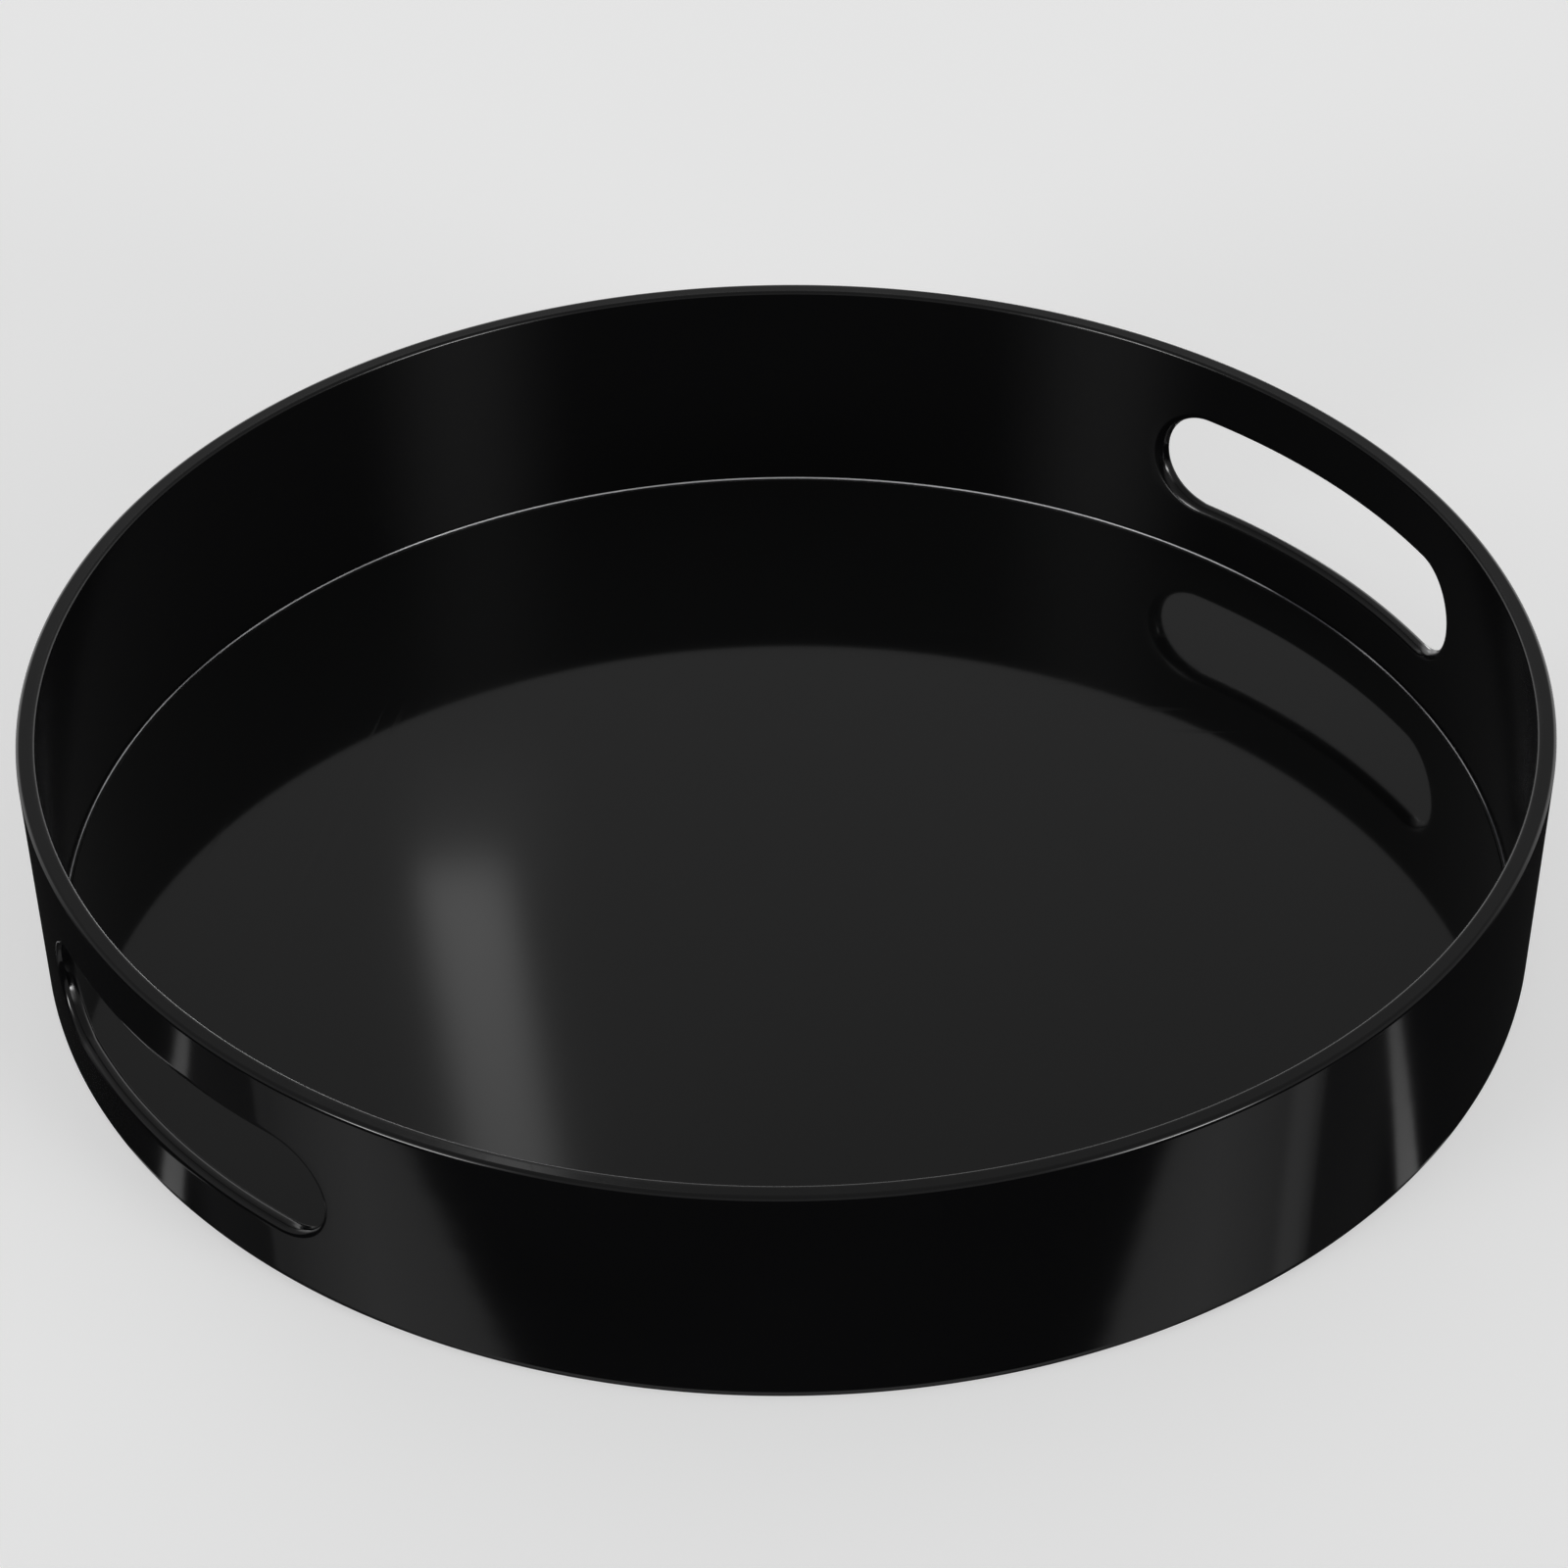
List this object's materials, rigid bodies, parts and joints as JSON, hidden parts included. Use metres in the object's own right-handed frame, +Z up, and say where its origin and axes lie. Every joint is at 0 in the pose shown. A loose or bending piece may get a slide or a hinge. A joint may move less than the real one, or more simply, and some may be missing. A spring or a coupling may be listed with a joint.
{
  "type": "serving tray",
  "caption": "Round black serving tray with a straight upright wall, a flat rim, opposite oblong hand holes, a laid-in gloss floor sheet and non-slip pads below.",
  "frame": {"origin": "on the surface that the tray stands on, under the centre of the tray", "axes": "+Z up, +X and -X through the two hand holes, -Y front"},
  "size_m": [0.33, 0.33, 0.056],
  "materials": {
    "shell_plastic": "polished black moulded plastic",
    "panel_plastic": "glossy black sheet, a little softer than the shell",
    "adhesive": "thin tacky adhesive",
    "pad_rubber": "matt black non-slip rubber"
  },
  "bodies": {
    "root": {"tray_shell": "shell_plastic", "floor_panel": "panel_plastic", "floor_film": "adhesive", "foot_pad_back_right": "pad_rubber", "foot_pad_back_left": "pad_rubber", "foot_pad_front_left": "pad_rubber", "foot_pad_front_right": "pad_rubber", "pad_adhesive_back_right": "adhesive", "pad_adhesive_back_left": "adhesive", "pad_adhesive_front_left": "adhesive", "pad_adhesive_front_right": "adhesive"}
  },
  "joints": []
}
